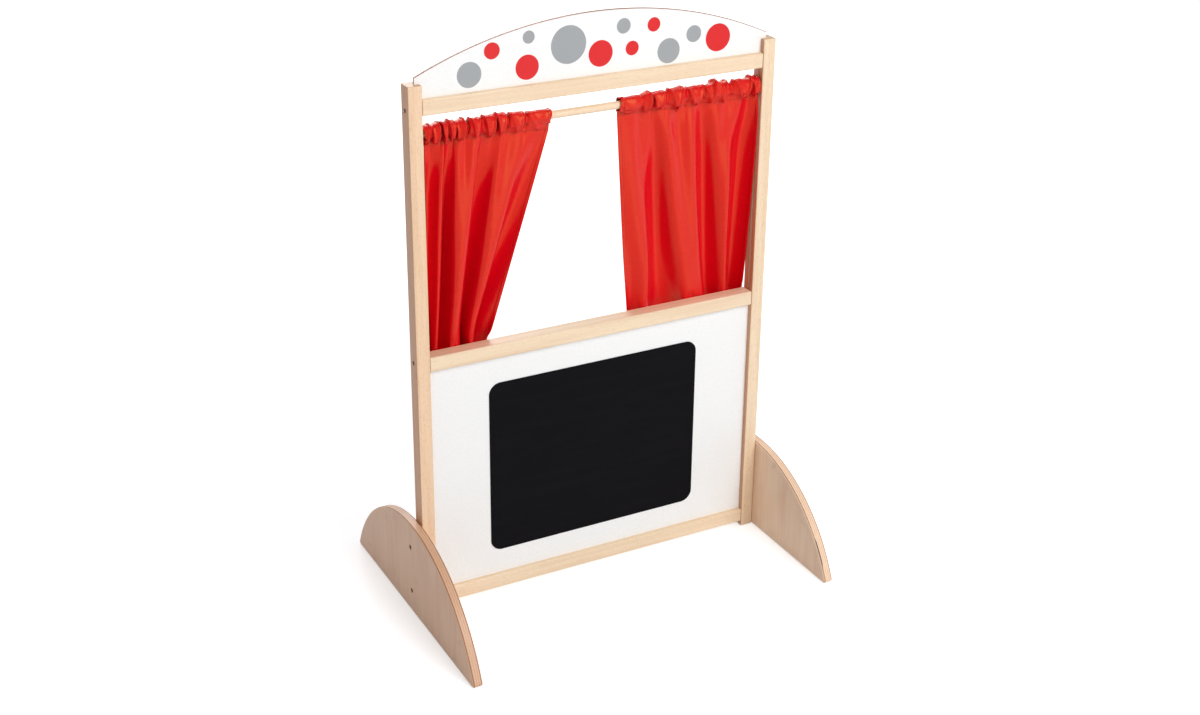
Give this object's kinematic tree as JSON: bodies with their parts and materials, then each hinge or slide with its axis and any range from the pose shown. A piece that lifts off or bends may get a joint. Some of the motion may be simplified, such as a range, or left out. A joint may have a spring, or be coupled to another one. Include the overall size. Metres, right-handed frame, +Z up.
{
  "type": "puppet theater stand",
  "caption": "Free-standing puppet theater for children: wooden frame on half-round feet, arched top panel, chalkboard front and red curtains that slide on a round rod above a ledge.",
  "frame": {"origin": "on the floor, midway between the posts and midway through their depth", "axes": "+Z up; -Y is the front, which the audience sees; +X is to the right as seen from the front"},
  "size_m": [0.73, 0.529, 1.06],
  "materials": {
    "beech": "clear satin lacquer",
    "plywood": "clear satin lacquer",
    "white_board": "smooth white coat",
    "chalkboard_coating": "matt black",
    "red_cotton": "sateen weave",
    "dark_steel": "burnished"
  },
  "bodies": {
    "frame": {"left_post": "beech", "right_post": "beech", "top_rail": "beech", "middle_rail": "beech", "bottom_rail": "beech", "curtain_rod": "beech", "arch_panel": "white_board", "front_panel": "white_board", "chalkboard": "chalkboard_coating", "left_foot": "plywood", "right_foot": "plywood", "left_top_screw": "dark_steel", "left_middle_screw": "dark_steel", "left_bottom_screw": "dark_steel", "left_foot_upper_screw": "dark_steel", "left_foot_lower_screw": "dark_steel", "right_top_screw": "dark_steel", "right_middle_screw": "dark_steel", "right_bottom_screw": "dark_steel", "right_foot_upper_screw": "dark_steel", "right_foot_lower_screw": "dark_steel"},
    "left_curtain": {"left_curtain": "red_cotton"},
    "right_curtain": {"right_curtain": "red_cotton"}
  },
  "joints": [
    {"name": "left_curtain_slide", "type": "slide", "parent": "frame", "child": "left_curtain", "axis": [1, 0, 0], "range_m": [0, 0.062]},
    {"name": "right_curtain_slide", "type": "slide", "parent": "frame", "child": "right_curtain", "axis": [-1, 0, 0], "range_m": [0, 0.062]}
  ]
}
